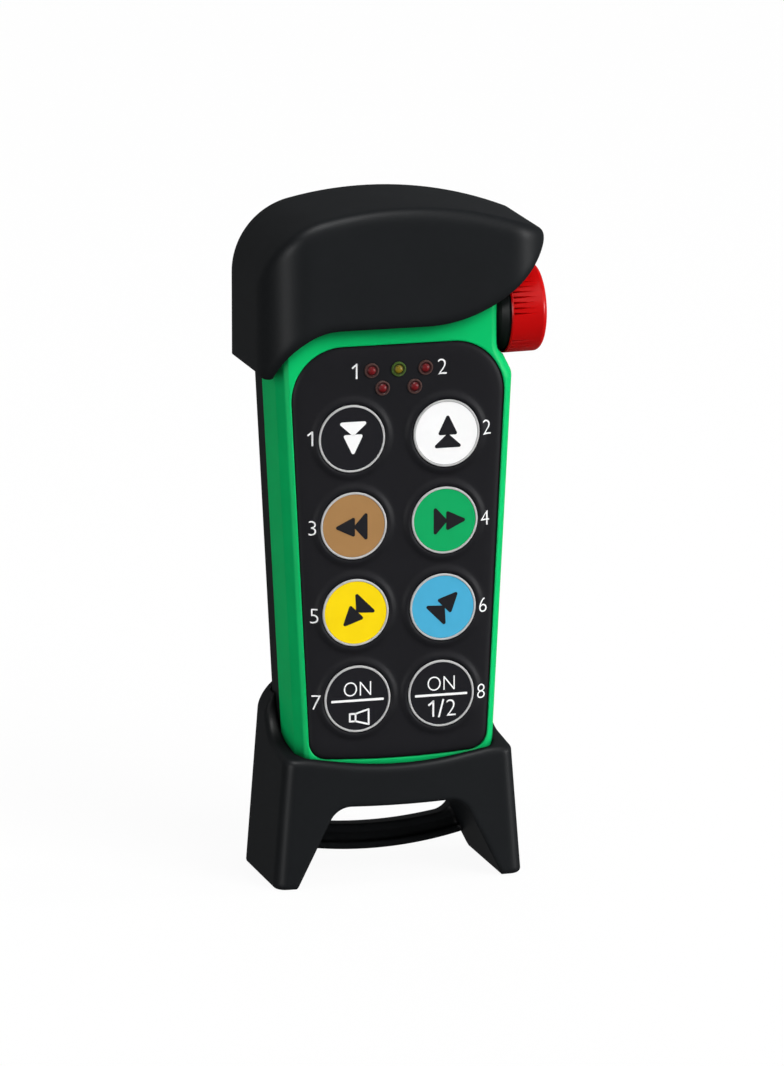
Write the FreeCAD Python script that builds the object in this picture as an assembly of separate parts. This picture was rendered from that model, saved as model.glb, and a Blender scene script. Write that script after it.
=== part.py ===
import FreeCAD, Part
import math
import os

# Radio remote control: a hand-held transmitter with eight push buttons on its
# front, an emergency stop on its right side and rubber bumpers at both ends.
# Millimetres. X points right, Y to the rear and Z up. While it is drawn, Y = 0 is
# the joint between the two housing shells and X = 0 the middle of the housing.

V = FreeCAD.Vector
os.makedirs("parts", exist_ok=True)

# Heights add up from the floor: the boot and the last row of buttons, the other
# rows, the field of indicators and the head with the emergency stop
last_row_z = 65.0
row_pitch = 30.0
row_count = 4
indicator_field = 31.2
head_height = 39.8
cap_roof = 7.5
estop_drop = 32.3
brow_drop = 33.1
taper_drop = 46.0
skirt_drop = 50.1

row_z = [last_row_z + row_pitch * (row_count - 1 - row) for row in range(row_count)]
keypad_top_z = row_z[0] + indicator_field
housing_top_z = keypad_top_z + head_height
cap_top_z = housing_top_z + cap_roof
estop_z = housing_top_z - estop_drop
cap_brow_z = housing_top_z - brow_drop
high_z = housing_top_z - taper_drop
cap_skirt_z = housing_top_z - skirt_drop

# Housing
front_depth = 22.5
rear_depth = 14.0
wall = 2.6
rear_wall = 3.0
front_wall = 2.5
housing_bottom_z = 36.0
housing_bottom_bow = 2.5
low_z = 40.0
low_half_width = 34.5
high_half_width = 41.7
bottom_corner_radius = 9.0
top_left_radius = 18.0
top_right_radius = 12.0
taper_blend_radius = 40.0
notch_corner_radius = 6.0
side_notch_x = 36.4
side_notch_drop = 20.2
side_notch_rise = 9.9
rim_crease_depth = 5.6
rim_edge_depth = 1.0
rim_edge_inset = 2.0
rim_front_inset = 3.5
rear_shell_step = 0.3
rear_edge_radius = 4.5
seal_inset = 1.5
seal_width = 0.8
seal_depth = 1.0
seal_gap = 0.05

# Screws
shell_screw_x = [-30.0, 24.0]
shell_screw_drop = 13.0
shell_screw_inset = 6.2
shell_screw_seat_y = 8.0
shell_screw_length = 18.0
shell_screw_radius = 1.45
shell_head_radius = 2.6
shell_head_height = 2.0
shell_boss_radius = 3.2
shell_column_radius = 4.4
board_screw_inset = 6.3
board_screw_rise = 8.0
board_screw_drop = 11.0
board_screw_length = 6.0
board_screw_radius = 0.95
board_head_radius = 2.0
board_head_height = 1.4
board_boss_radius = 2.7
cover_screw_inset = 2.6
cover_screw_length = 6.0
cover_screw_radius = 1.05
cover_head_radius = 2.1
cover_head_height = 0.8
screw_gap = 0.25

# Keypad and buttons
column_half_top = 16.53
column_half_bottom = 14.70
button_radius = 11.55
button_travel = 1.6
button_gap = 0.3
button_proud = 1.5
button_wall = 1.4
keypad_inset = 3.75
keypad_gap = 0.15
keypad_bottom_z = 42.7
keypad_bottom_bow = 2.0
keypad_low_radius = 6.5
keypad_high_radius = 17.8
keypad_thickness = 2.5
keypad_lip = 3.5
keypad_crown = 0.3
keypad_edge = 0.6
plateau_width = 2.85
plateau_slope = 2.2
plateau_height = 0.9
label_margin = 0.8
label_thickness = 0.35
ring_width = 0.7
ring_height = 0.5
ring_bevel = 0.2
flange_width = 1.35
flange_gap = 0.4
flange_thickness = 0.8
button_stem_radius = 2.0
stem_gap = 0.2
button_root = 1.6
led_half_pitch = 9.4
led_low_half_pitch = 5.6
led_drop = 8.4
led_low_drop = 14.6
led_flange_radius = 2.55
led_dome_radius = 1.5
led_dome_height = 1.0
led_rim_height = 0.65
emitter_width = 3.2
emitter_length = 2.8
emitter_height = 2.0

# Circuit board
board_front_y = -10.0
board_thickness = 1.6
board_gap = 0.6
board_bottom_z = 46.0
board_drop = 4.7
board_notch_x = 31.0
switch_side = 7.0
switch_height = 4.0
switch_corner = 0.8
switch_floor = 0.5
switch_gap = 0.5
radio_left_x = -26.0
radio_width = 24.0
radio_length = 18.0
radio_drop = 7.5
radio_base = 0.8
shield_width = 17.0
shield_height = 2.4
shield_margin = 1.0
antenna_left_x = -30.0
antenna_width = 9.0
antenna_length = 31.0
antenna_overlap = 6.5
antenna_thickness = 1.0
antenna_turns = 4
antenna_turn_pitch = 5.0
antenna_first_turn = 10.0
antenna_slit = 1.6
antenna_track = 1.8

# Battery
battery_rise = 8.0
bay_half_width = 23.0
bay_length = 62.0
bay_floor_y = -3.2
bay_wall = 1.8
bay_corner = 1.2
battery_gap = 0.4
battery_corner = 4.0
contact_width = 5.0
contact_reach = 3.0
contact_strip = 0.5
contact_half_height = 2.6
contact_depth = 4.6
contact_half_pitch = 9.0
cover_half_width = 26.3
cover_length = 75.6
cover_thickness = 1.6
cover_corner = 4.0
cover_gap = 0.2
cover_edge_radius = 0.5
plug_height = 2.0
bay_seal_margin = 2.2
bay_seal_width = 1.0
bay_seal_thickness = 0.7
grip_count = 5
grip_pitch = 2.6
grip_width = 1.1
grip_half_length = 9.0
grip_depth = 0.5
grip_margin = 9.0

# Emergency stop, with its axis along X
estop_y = -8.4
estop_wall_x = 35.2
estop_wall = 3.0
estop_rim_x = 39.6
estop_face_x = 53.0
estop_head_radius = 15.2
estop_head_wall = 0.9
estop_crown = 0.73
estop_shoulder = 2.0
estop_side_draft = 0.15
estop_travel = 3.4
estop_barrel_radius = 6.9
estop_stem_radius = 3.5
estop_pocket_gap = 1.2
estop_fit = 0.1
barrel_end_x = 20.0
spring_seat_depth = 6.0
spring_room = 1.0
spring_wire = 0.9
spring_turns = 6
collar_step = 1.3
collar_overlap = 4.6
seal_radius = 8.0
seal_band = 1.4
seal_recess = 0.8
nut_width = 1.9
nut_height = 4.0
nut_notches = 6
nut_notch_radius = 1.2
stem_tip_x = 13.0
stem_flange_x = 17.4
stem_flange_radius = 5.0
stem_tip_bevel = 0.6
hub_wall = 1.9
block_end_x = 7.0
block_half = 8.5
block_bore = 5.5
terminal_radius = 1.3
terminal_offset = 6.6
groove_groups = 4
groove_count = 8
groove_turn = 7.1
groove_first_turn = 152.5
groove_start = 0.7
groove_length = 10.5
groove_depth = 0.75
groove_half_width = 0.5

# Top bumper
bumper_gap = 0.2
cap_left_x = -47.3
cap_right_x = 52.6
cap_front_y = -30.0
cap_rear_y = 18.0
cap_crown_radius = 127.0
cap_skirt_rise = 1.9
cap_hem_start = 6.0
cap_hem_run = 10.0
cap_hem_blend = 6.0
cap_hem_radius = 2.2
cap_skirt_width = 4.28
cap_arch_lift = 5.0
cap_visor_radius = 49.5
cap_visor_x = 8.1
cap_shoulder_radius = 25.0
cap_nose_radius = 4.5
cap_corner_radius = 15.0
cap_edge_radius = 3.5
cap_brow_radius = 1.8
cap_rear_edge_radius = 1.5

# Bottom bumper
boot_half_width = 43.8
boot_lean = 0.08
boot_rear_narrowing = 0.2
boot_front_radius = 4.5
boot_rear_radius = 2.5
boot_front_y = -24.9
boot_front_bow = 1.4
boot_rear_y = 17.0
boot_rear_top_z = 67.0
boot_shoulder_radius = 16.0
boot_corner_z = 44.8
boot_dip = 5.4
boot_dip_half = 32.0
boot_dip_blend = 30.0
boot_dip_length = 10.0
boot_rim_rise = 0.12
boot_step_y = 5.0
boot_step_radius = 15.0
boot_sole_radius = 1.5
boot_rim_radius = 2.0
arch_top_z = 28.2
arch_top_half = 22.3
arch_top_bow = 0.8
arch_corner_radius = 8.0
arch_foot_half = 36.3
bar_bottom_z = 2.8
bar_height = 8.8
bar_depth = 5.5
bar_arc_radius = 138.0
bar_sweep_radius = 7.0
bar_end_rise = 3.3
slot_bow = 4.9
slot_margin = 4.2
bar_groove_rise = 2.3
bar_groove_height = 3.6
bar_groove_depth = 3.0

# Room left round a cut, so that it runs past the faces it opens
past = 1.0
far = 60.0

# Planes and places that follow from the sizes
front_y = -front_depth
keypad_rear_y = front_y + keypad_thickness
wall_front_y = keypad_rear_y + front_wall
crease_y = front_y + rim_crease_depth
edge_y = front_y + rim_edge_depth
button_face_y = front_y - button_proud
board_rear_y = board_front_y + board_thickness
board_top_z = keypad_top_z - board_drop
estop_pocket_radius = estop_head_radius + estop_pocket_gap
side_notch_low_z = estop_z - side_notch_drop
side_notch_high_z = side_notch_low_z + side_notch_rise
battery_middle_z = (row_z[0] + row_z[-1]) / 2 + battery_rise


def half_width(z):
    share = (z - low_z) / (high_z - low_z)
    return low_half_width + share * (high_half_width - low_half_width)


def column_half(row):
    share = row / (row_count - 1)
    return column_half_top + share * (column_half_bottom - column_half_top)


# Drawing helpers. An outline is a list of corners (a, b, radius).
def in_xz(y):
    return lambda a, b: V(a, y, b)


def in_xy(z):
    return lambda a, b: V(a, b, z)


def in_yz(x):
    return lambda a, b: V(x, a, b)


def loop(corners, place):
    count = len(corners)
    turns = []
    for i in range(count):
        here = V(corners[i][0], corners[i][1], 0)
        before = V(corners[i - 1][0], corners[i - 1][1], 0) - here
        after = V(corners[(i + 1) % count][0], corners[(i + 1) % count][1], 0) - here
        before.normalize()
        after.normalize()
        radius = corners[i][2]
        half_angle = before.getAngle(after) / 2
        reach = radius / math.tan(half_angle)
        bisector = before + after
        bisector.normalize()
        middle = here + bisector * (radius / math.sin(half_angle) - radius)
        turns.append((here + before * reach, middle, here + after * reach, radius))
    edges = []
    for i in range(count):
        start, middle, end, radius = turns[i]
        following = turns[(i + 1) % count][0]
        if radius > 0:
            points = [place(p.x, p.y) for p in (start, middle, end)]
            edges.append(Part.Arc(*points).toShape())
        if end.distanceToPoint(following) > 1e-4:
            edges.append(Part.makeLine(place(end.x, end.y), place(following.x, following.y)))
    return Part.Wire(edges)


def inset(corners, distance):
    count = len(corners)
    moved = []
    for i in range(count):
        here = V(corners[i][0], corners[i][1], 0)
        arriving = here - V(corners[i - 1][0], corners[i - 1][1], 0)
        leaving = V(corners[(i + 1) % count][0], corners[(i + 1) % count][1], 0) - here
        arriving.normalize()
        leaving.normalize()
        normal_1 = V(-arriving.y, arriving.x, 0)
        normal_2 = V(-leaving.y, leaving.x, 0)
        shift = (normal_1 + normal_2) * (distance / (1 + normal_1.dot(normal_2)))
        bends_in = arriving.x * leaving.y - arriving.y * leaving.x > 0
        radius = corners[i][2] - distance if bends_in else corners[i][2] + distance
        moved.append((here.x + shift.x, here.y + shift.y, max(radius, 0.0)))
    return moved


def bow_radius(half, bow):
    """Corner radius that bends two thirds of a side whose middle stands out by the bow."""
    return 0.65 * half ** 2 / bow


def rectangle(a0, a1, b0, b1, radius):
    return [(a0, b0, radius), (a1, b0, radius), (a1, b1, radius), (a0, b1, radius)]


def slab_y(corners, y0, y1):
    return Part.Face(loop(corners, in_xz(y0))).extrude(V(0, y1 - y0, 0))


def slab_z(corners, z0, z1):
    return Part.Face(loop(corners, in_xy(z0))).extrude(V(0, 0, z1 - z0))


def slab_x(corners, x0, x1):
    return Part.Face(loop(corners, in_yz(x0))).extrude(V(x1 - x0, 0, 0))


def stack_y(sections):
    wires = [loop(corners, in_xz(y)) for corners, y in sections]
    return Part.makeLoft(wires, True, True)


def rod_y(radius, y0, y1, x, z):
    return Part.makeCylinder(radius, y1 - y0, V(x, y0, z), V(0, 1, 0))


def rod_x(radius, x0, x1):
    return Part.makeCylinder(radius, x1 - x0, V(x0, estop_y, estop_z), V(1, 0, 0))


def turned_x(points):
    wire = Part.makePolygon([V(x, r, 0) for x, r in points + points[:1]])
    solid = Part.Face(wire).revolve(V(0, 0, 0), V(1, 0, 0), 360)
    solid.translate(V(0, estop_y, estop_z))
    return solid


def turned_y(points, x, z):
    wire = Part.makePolygon([V(r, y, 0) for r, y in points + points[:1]])
    solid = Part.Face(wire).revolve(V(0, 0, 0), V(0, 1, 0), 360)
    solid.translate(V(x, 0, z))
    return solid


def rounded(shape, radius, wanted):
    return shape.makeFillet(radius, [edge for edge in shape.Edges if wanted(edge)])


def rounded_by(shape, radius_of):
    """Rounds each edge by its own radius; an edge with radius 0 stays sharp."""
    sheet = FreeCAD.newDocument()
    base = sheet.addObject("Part::Feature", "base")
    base.Shape = shape
    fillet = sheet.addObject("Part::Fillet", "fillet")
    fillet.Base = base
    radii = [(number, radius_of(edge)) for number, edge in enumerate(shape.Edges, 1)]
    fillet.Edges = [(number, radius, radius) for number, radius in radii if radius > 0]
    sheet.recompute()
    result = fillet.Shape.copy()
    FreeCAD.closeDocument(sheet.Name)
    return result


def middle_of(edge):
    return edge.valueAt((edge.FirstParameter + edge.LastParameter) / 2)


# The part's origin is on the floor, under the middle of its bounding box.
origin = V((cap_left_x + estop_face_x) / 2, (cap_front_y + cap_rear_y) / 2, 0)


def save(name, shape):
    shape = shape.copy()
    shape.translate(origin * -1)
    shape.exportStep("parts/" + name + ".step")


# Outlines seen from the front
housing_low_z = housing_bottom_z + housing_bottom_bow
housing_low_half = half_width(housing_low_z)
housing = [
    (-housing_low_half, housing_low_z, bottom_corner_radius),
    (0.0, housing_bottom_z, bow_radius(housing_low_half, housing_bottom_bow)),
    (housing_low_half, housing_low_z, bottom_corner_radius),
    (half_width(side_notch_low_z), side_notch_low_z, notch_corner_radius),
    (side_notch_x, side_notch_high_z, notch_corner_radius),
    (side_notch_x, housing_top_z, top_right_radius),
    (-high_half_width, housing_top_z, top_left_radius),
    (-high_half_width, high_z, taper_blend_radius),
]
keypad_low_z = keypad_bottom_z + keypad_bottom_bow
keypad_low_half = half_width(keypad_low_z) - keypad_inset
keypad_high_half = half_width(keypad_top_z) - keypad_inset - 0.3
keypad = [
    (-keypad_low_half, keypad_low_z, keypad_low_radius),
    (0.0, keypad_bottom_z, bow_radius(keypad_low_half, keypad_bottom_bow)),
    (keypad_low_half, keypad_low_z, keypad_low_radius),
    (keypad_high_half, keypad_top_z, keypad_high_radius),
    (-keypad_high_half, keypad_top_z, keypad_high_radius),
]
inner_housing = inset(housing, wall)

# Places of the buttons, indicators and screws, as (x, z)
button_places = []
for row in range(row_count):
    for side in (-1, 1):
        button_places.append((side * column_half(row), row_z[row]))
led_places = [(side * led_half_pitch, keypad_top_z - led_drop) for side in (-1, 0, 1)]
led_places += [(side * led_low_half_pitch, keypad_top_z - led_low_drop) for side in (-1, 1)]
shell_screws_at = [(x, housing_top_z - shell_screw_drop) for x in shell_screw_x]
for row in (0, row_count - 2):
    z = (row_z[row] + row_z[row + 1]) / 2
    for side in (-1, 1):
        shell_screws_at.append((side * (half_width(z) - shell_screw_inset), z))
board_screws_at = []
for z in (row_z[0] + board_screw_rise, row_z[-1] - board_screw_drop):
    for side in (-1, 1):
        board_screws_at.append((side * (half_width(z) - board_screw_inset), z))


def estop_pocket():
    return rod_x(estop_pocket_radius, estop_wall_x, estop_wall_x + far)


def estop_pad(outer):
    pad_radius = estop_pocket_radius + estop_pocket_gap + seal_width / 2
    pad = rod_x(pad_radius, estop_wall_x - estop_wall, estop_wall_x + 2 * estop_wall)
    return pad.common(outer)


def housing_envelope(gap):
    chamfer = rear_edge_radius * (2 - math.sqrt(2))
    return stack_y([
        (inset(housing, rim_front_inset - gap), front_y - gap),
        (inset(housing, rim_edge_inset - gap), edge_y - gap),
        (inset(housing, -gap), crease_y - gap),
        (inset(housing, -gap), rear_depth - chamfer + gap),
        (inset(housing, chamfer - gap), rear_depth + gap),
    ])


# Front shell: chamfered rim, pocket for the keypad, screw bosses and the wall
# that carries the emergency stop
def front_shell():
    outer = stack_y([
        (inset(housing, rim_front_inset), front_y),
        (inset(housing, rim_edge_inset), edge_y),
        (housing, crease_y),
        (housing, 0.0),
    ])
    shell = outer.cut(slab_y(inner_housing, wall_front_y, past))
    shell = shell.cut(slab_y(inset(keypad, -keypad_gap), front_y - past, keypad_rear_y))
    shell = shell.cut(slab_y(inset(keypad, keypad_lip), keypad_rear_y - past, wall_front_y + past))
    root_y = wall_front_y - front_wall / 2
    bosses = [estop_pad(outer)]
    for x, z in shell_screws_at:
        bosses.append(rod_y(shell_boss_radius, root_y, 0.0, x, z))
    for x, z in board_screws_at:
        bosses.append(rod_y(board_boss_radius, root_y, board_front_y, x, z))
    shell = shell.fuse(bosses)
    holes = [rod_x(estop_barrel_radius + estop_fit, 0, far), estop_pocket()]
    for x, z in shell_screws_at:
        holes.append(rod_y(shell_screw_radius + 0.05, wall_front_y + past, past, x, z))
    for x, z in board_screws_at:
        holes.append(rod_y(board_screw_radius + 0.05, wall_front_y + past, past, x, z))
    return shell.cut(holes).removeSplitter()


# Rear shell: rounded rear edge, battery bay, screw columns and the seal groove
bay_z0 = battery_middle_z - bay_length / 2
bay_z1 = battery_middle_z + bay_length / 2
cover_z0 = battery_middle_z - cover_length / 2
cover_z1 = battery_middle_z + cover_length / 2
cover_seat_y = rear_depth - cover_thickness
cover_screws_at = [(0.0, cover_z0 + cover_screw_inset), (0.0, cover_z1 - cover_screw_inset)]
cover_outline = rectangle(-cover_half_width, cover_half_width, cover_z0, cover_z1, cover_corner)
bay_outline = rectangle(-bay_half_width, bay_half_width, bay_z0, bay_z1, bay_corner)


def rear_shell():
    outer = slab_y(inset(housing, rear_shell_step), 0.0, rear_depth)
    outer = rounded(outer, rear_edge_radius, lambda e: e.BoundBox.YMin > rear_depth - 0.01)
    inner_y = rear_depth - rear_wall
    shell = outer.cut(slab_y(inset(housing, rear_shell_step + wall), -past, inner_y))
    columns = [slab_y(inset(bay_outline, -bay_wall), bay_floor_y - bay_wall, inner_y + past)]
    columns.append(estop_pad(outer))
    for x, z in shell_screws_at:
        columns.append(rod_y(shell_column_radius, 0.0, rear_depth - past, x, z).common(outer))
    for x, z in cover_screws_at:
        root_y = cover_seat_y - cover_screw_length - cover_thickness
        columns.append(rod_y(cover_screw_radius + bay_wall, root_y, inner_y + past, x, z))
    shell = shell.fuse(columns)
    cuts = [slab_y(bay_outline, bay_floor_y, far)]
    cuts.append(slab_y(inset(cover_outline, -cover_gap), cover_seat_y, far))
    groove = slab_y(inset(housing, seal_inset), -past, seal_depth)
    cuts.append(groove.cut(slab_y(inset(housing, seal_inset + seal_width), -2 * past, 2 * past)))
    cuts.append(estop_pocket())
    for x, z in shell_screws_at:
        cuts.append(rod_y(shell_screw_radius + screw_gap, -past, far, x, z))
        cuts.append(rod_y(shell_head_radius + screw_gap, shell_screw_seat_y, far, x, z))
    for x, z in cover_screws_at:
        cuts.append(rod_y(cover_screw_radius + 0.05, cover_seat_y - cover_screw_length, far, x, z))
    return shell.cut(cuts).removeSplitter()


def shell_seal():
    ring = slab_y(inset(housing, seal_inset + seal_gap), 0.0, seal_depth)
    return ring.cut(slab_y(inset(housing, seal_inset + seal_width - seal_gap), -past, seal_depth + past))


# Screw with a pan head, pushed in along -Y
def screw(x, z, seat_y, length, radius, head_radius, head_height):
    shank = rod_y(radius, seat_y - length, seat_y, x, z)
    head = rod_y(head_radius, seat_y, seat_y + head_height, x, z)
    head = head.makeChamfer(head_height / 4, [e for e in head.Edges if e.BoundBox.YMin > seat_y + 0.1])
    socket = rod_y(0.45 * head_radius, seat_y + head_height / 2, seat_y + head_height + past, x, z)
    return shank.fuse(head).cut(socket).removeSplitter()


# Keypad: a crowned skin with a raised ring round each button
keypad_face_y = front_y - keypad_crown


def plateau(x, z):
    foot_y = keypad_face_y + keypad_crown
    top_y = keypad_face_y - plateau_height
    foot_radius = button_radius + plateau_width
    top_radius = foot_radius - plateau_slope
    bend = (plateau_slope ** 2 + plateau_height ** 2) / (2 * plateau_height)
    turn = math.asin(plateau_slope / bend) / 2
    foot = V(foot_radius, keypad_face_y, 0)
    bulge = V(top_radius + bend * math.sin(turn), top_y + bend * (1 - math.cos(turn)), 0)
    brow = V(top_radius, top_y, 0)
    edges = [
        Part.makeLine(V(0, foot_y, 0), V(foot_radius, foot_y, 0)),
        Part.makeLine(V(foot_radius, foot_y, 0), foot),
        Part.Arc(foot, bulge, brow).toShape(),
        Part.makeLine(brow, V(0, top_y, 0)),
        Part.makeLine(V(0, top_y, 0), V(0, foot_y, 0)),
    ]
    ring = Part.Face(Part.Wire(edges)).revolve(V(0, 0, 0), V(0, 1, 0), 360)
    ring.translate(V(x, 0, z))
    return ring


def keypad_panel():
    panel = stack_y([
        (keypad, keypad_rear_y),
        (keypad, front_y + keypad_edge),
        (inset(keypad, keypad_edge), front_y + keypad_crown / 2),
        (inset(keypad, 3 * keypad_edge), front_y - keypad_crown / 2),
        (inset(keypad, 7 * keypad_edge), keypad_face_y),
    ])
    panel = panel.fuse([plateau(x, z) for x, z in button_places])
    holes = []
    for x, z in button_places:
        holes.append(rod_y(button_radius + button_gap, front_y - far, 0.0, x, z))
    for x, z in led_places:
        holes.append(rod_y(led_dome_radius + 0.1, front_y - far, 0.0, x, z))
    return panel.cut(holes).removeSplitter()


# Button: cap with a flange behind the keypad and a stem into its switch
cap_face_y = button_face_y + ring_height
flange_y = keypad_rear_y + flange_gap
stem_end_y = board_front_y - switch_floor - switch_gap - button_travel


def button_cap(x, z):
    back_y = flange_y + flange_thickness
    roof_y = flange_y - 3 * flange_gap
    flange_radius = button_radius + flange_width
    profile = [
        (0.0, cap_face_y),
        (button_radius, cap_face_y),
        (button_radius, flange_y),
        (flange_radius, flange_y),
        (flange_radius, back_y),
        (button_radius - button_wall, back_y),
        (button_radius - button_wall, roof_y),
        (button_stem_radius + button_root, roof_y),
        (button_stem_radius, back_y + button_stem_radius),
        (button_stem_radius, stem_end_y),
        (0.0, stem_end_y),
    ]
    return turned_y(profile, x, z)


def button_label(x, z):
    return rod_y(button_radius - label_margin, cap_face_y - label_thickness, cap_face_y, x, z)


def button_ring(x, z):
    inner = button_radius - ring_width
    profile = [
        (inner, cap_face_y),
        (button_radius, cap_face_y),
        (button_radius, button_face_y + ring_bevel),
        (button_radius - ring_bevel, button_face_y),
        (inner + ring_bevel / 2, button_face_y),
        (inner, button_face_y + ring_bevel / 2),
    ]
    return turned_y(profile, x, z)


# Indicator lens: a raised ring, a groove and a dome on a light guide
guide_end_y = board_front_y - emitter_height - 0.2


def led_lens(x, z):
    r = led_dome_radius
    rim = led_flange_radius
    profile = [
        (0.0, guide_end_y),
        (r, guide_end_y),
        (r, keypad_face_y),
        (rim, keypad_face_y),
        (rim, keypad_face_y - 0.46 * led_rim_height),
        (rim - 0.25, keypad_face_y - led_rim_height),
        (rim - 0.6, keypad_face_y - led_rim_height),
        (r + 0.1, keypad_face_y - 0.25 * led_dome_height),
        (0.95 * r, keypad_face_y - 0.40 * led_dome_height),
        (0.70 * r, keypad_face_y - 0.75 * led_dome_height),
        (0.35 * r, keypad_face_y - 0.95 * led_dome_height),
        (0.0, keypad_face_y - led_dome_height),
    ]
    return turned_y(profile, x, z)


# Circuit board and what it carries
def main_board():
    plate = slab_y(inset(housing, wall + board_gap), board_front_y, board_rear_y)
    keep = rectangle(-far, far, board_bottom_z, board_top_z, 0.0)
    notch = rectangle(board_notch_x, far, side_notch_low_z - 2 * past, cap_top_z, 0.0)
    cuts = [slab_y(notch, board_front_y - past, board_rear_y + past)]
    for x, z in shell_screws_at:
        cuts.append(rod_y(shell_boss_radius + board_gap, board_front_y - past, board_rear_y + past, x, z))
    for x, z in board_screws_at:
        cuts.append(rod_y(board_screw_radius + screw_gap, board_front_y - past, board_rear_y + past, x, z))
    return plate.common(slab_y(keep, board_front_y - past, board_rear_y + past)).cut(cuts)


def key_switch(x, z):
    y0 = board_front_y - switch_height
    half = switch_side / 2
    body = slab_y(rectangle(x - half, x + half, z - half, z + half, switch_corner), y0, board_front_y)
    return body.cut(rod_y(button_stem_radius + stem_gap, y0 - past, board_front_y - switch_floor, x, z))


def led_emitter(x, z):
    half_x = emitter_width / 2
    half_z = emitter_length / 2
    outline = rectangle(x - half_x, x + half_x, z - half_z, z + half_z, 0.1 * emitter_width)
    return slab_y(outline, board_front_y - emitter_height, board_front_y)


def radio_module():
    z1 = board_top_z - radio_drop
    z0 = z1 - radio_length
    top_y = board_rear_y + radio_base
    base = rectangle(radio_left_x, radio_left_x + radio_width, z0, z1, shield_margin / 2)
    x0 = radio_left_x + shield_margin
    shield = rectangle(x0, x0 + shield_width, z0 + shield_margin, z1 - shield_margin, shield_margin)
    module = slab_y(base, board_rear_y, top_y).fuse(slab_y(shield, top_y, top_y + shield_height))
    return module.removeSplitter()


def antenna():
    z0 = board_top_z - antenna_overlap
    x1 = antenna_left_x + antenna_width
    strip = rectangle(antenna_left_x, x1, z0, z0 + antenna_length, antenna_slit)
    strip = slab_y(strip, board_rear_y, board_rear_y + antenna_thickness)
    slits = []
    for i in range(antenna_turns):
        z = z0 + antenna_first_turn + antenna_turn_pitch * i
        left = antenna_left_x - past if i % 2 else antenna_left_x + antenna_track
        right = x1 - antenna_track if i % 2 else x1 + past
        slit = rectangle(left, right, z, z + antenna_slit, 0.0)
        slits.append(slab_y(slit, board_rear_y - past, board_rear_y + antenna_thickness + past))
    return strip.cut(slits)


# Battery, its contacts and its cover
def battery_pack():
    half = bay_half_width - battery_gap
    pack = rectangle(-half, half, bay_z0 + battery_gap, bay_z1 - contact_reach, battery_corner)
    return slab_y(pack, bay_floor_y, cover_seat_y - plug_height - 2 * battery_gap)


def battery_contact(x):
    tip_z = bay_z1 - contact_reach
    middle_y = bay_floor_y + contact_depth
    low_y = middle_y - contact_half_height
    high_y = middle_y + contact_half_height
    bend = [
        (low_y, bay_z1, 0.0),
        (low_y, bay_z1 - 0.8 * contact_strip, 0.0),
        (middle_y, tip_z, 1.2 * contact_strip),
        (high_y, bay_z1 - 0.8 * contact_strip, 0.0),
        (high_y, bay_z1, 0.0),
        (middle_y, tip_z + contact_strip, 0.6 * contact_strip),
    ]
    return slab_x(bend, x - contact_width / 2, x + contact_width / 2)


bay_seal_outline = inset(bay_outline, -bay_seal_margin)


def battery_seal():
    ring = slab_y(bay_seal_outline, cover_seat_y, cover_seat_y + bay_seal_thickness)
    hole = slab_y(inset(bay_seal_outline, bay_seal_width), cover_seat_y - past, rear_depth)
    return ring.cut(hole)


def battery_cover():
    plate = slab_y(cover_outline, cover_seat_y, rear_depth)
    plate = rounded(plate, cover_edge_radius, lambda e: e.BoundBox.YMin > rear_depth - 0.01)
    plug_y = cover_seat_y - plug_height
    plate = plate.fuse(slab_y(inset(bay_outline, cover_gap), plug_y, cover_seat_y + cover_thickness / 2))
    groove_y = cover_seat_y + bay_seal_thickness + seal_gap
    groove = slab_y(inset(bay_seal_outline, -seal_gap), cover_seat_y - past, groove_y)
    cuts = [groove.cut(slab_y(inset(bay_seal_outline, bay_seal_width + seal_gap), -far, far))]
    for x, z in cover_screws_at:
        cuts.append(rod_y(cover_screw_radius + screw_gap, 0.0, far, x, z))
        cuts.append(rod_y(cover_head_radius + cover_gap, cover_seat_y + cover_thickness / 2, far, x, z))
    for i in range(grip_count):
        z = cover_z0 + grip_margin + grip_pitch * i
        grip = rectangle(-grip_half_length, grip_half_length, z, z + grip_width, 0.45 * grip_width)
        cuts.append(slab_y(grip, rear_depth - grip_depth, far))
    return plate.cut(cuts).removeSplitter()


# Emergency stop
collar_front_x = estop_rim_x + collar_overlap
collar_radius = estop_head_radius - collar_step
spring_seat_x = barrel_end_x + spring_seat_depth
spring_radius = estop_barrel_radius - spring_room
hub_x = collar_front_x - past
hood_x = collar_front_x + estop_travel + past


def estop_collar():
    seal_x = estop_wall_x + seal_recess
    seal_outer = seal_radius + seal_band
    bore = estop_stem_radius + estop_fit
    profile = [
        (barrel_end_x, bore),
        (barrel_end_x, estop_barrel_radius),
        (estop_wall_x, estop_barrel_radius),
        (estop_wall_x, seal_radius),
        (seal_x, seal_radius),
        (seal_x, seal_outer),
        (estop_wall_x, seal_outer),
        (estop_wall_x, seal_outer + seal_band),
        (estop_wall_x + 2 * seal_recess, collar_radius - seal_band),
        (estop_rim_x - 0.6, collar_radius),
        (collar_front_x, collar_radius),
        (collar_front_x, spring_radius),
        (spring_seat_x, spring_radius),
        (spring_seat_x, bore),
    ]
    return turned_x(profile)


def estop_seal():
    inner = seal_radius + seal_gap
    outer = seal_radius + seal_band - seal_gap
    end_x = estop_wall_x + seal_recess - seal_gap
    return turned_x([(estop_wall_x, inner), (estop_wall_x, outer), (end_x, outer), (end_x, inner)])


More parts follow.
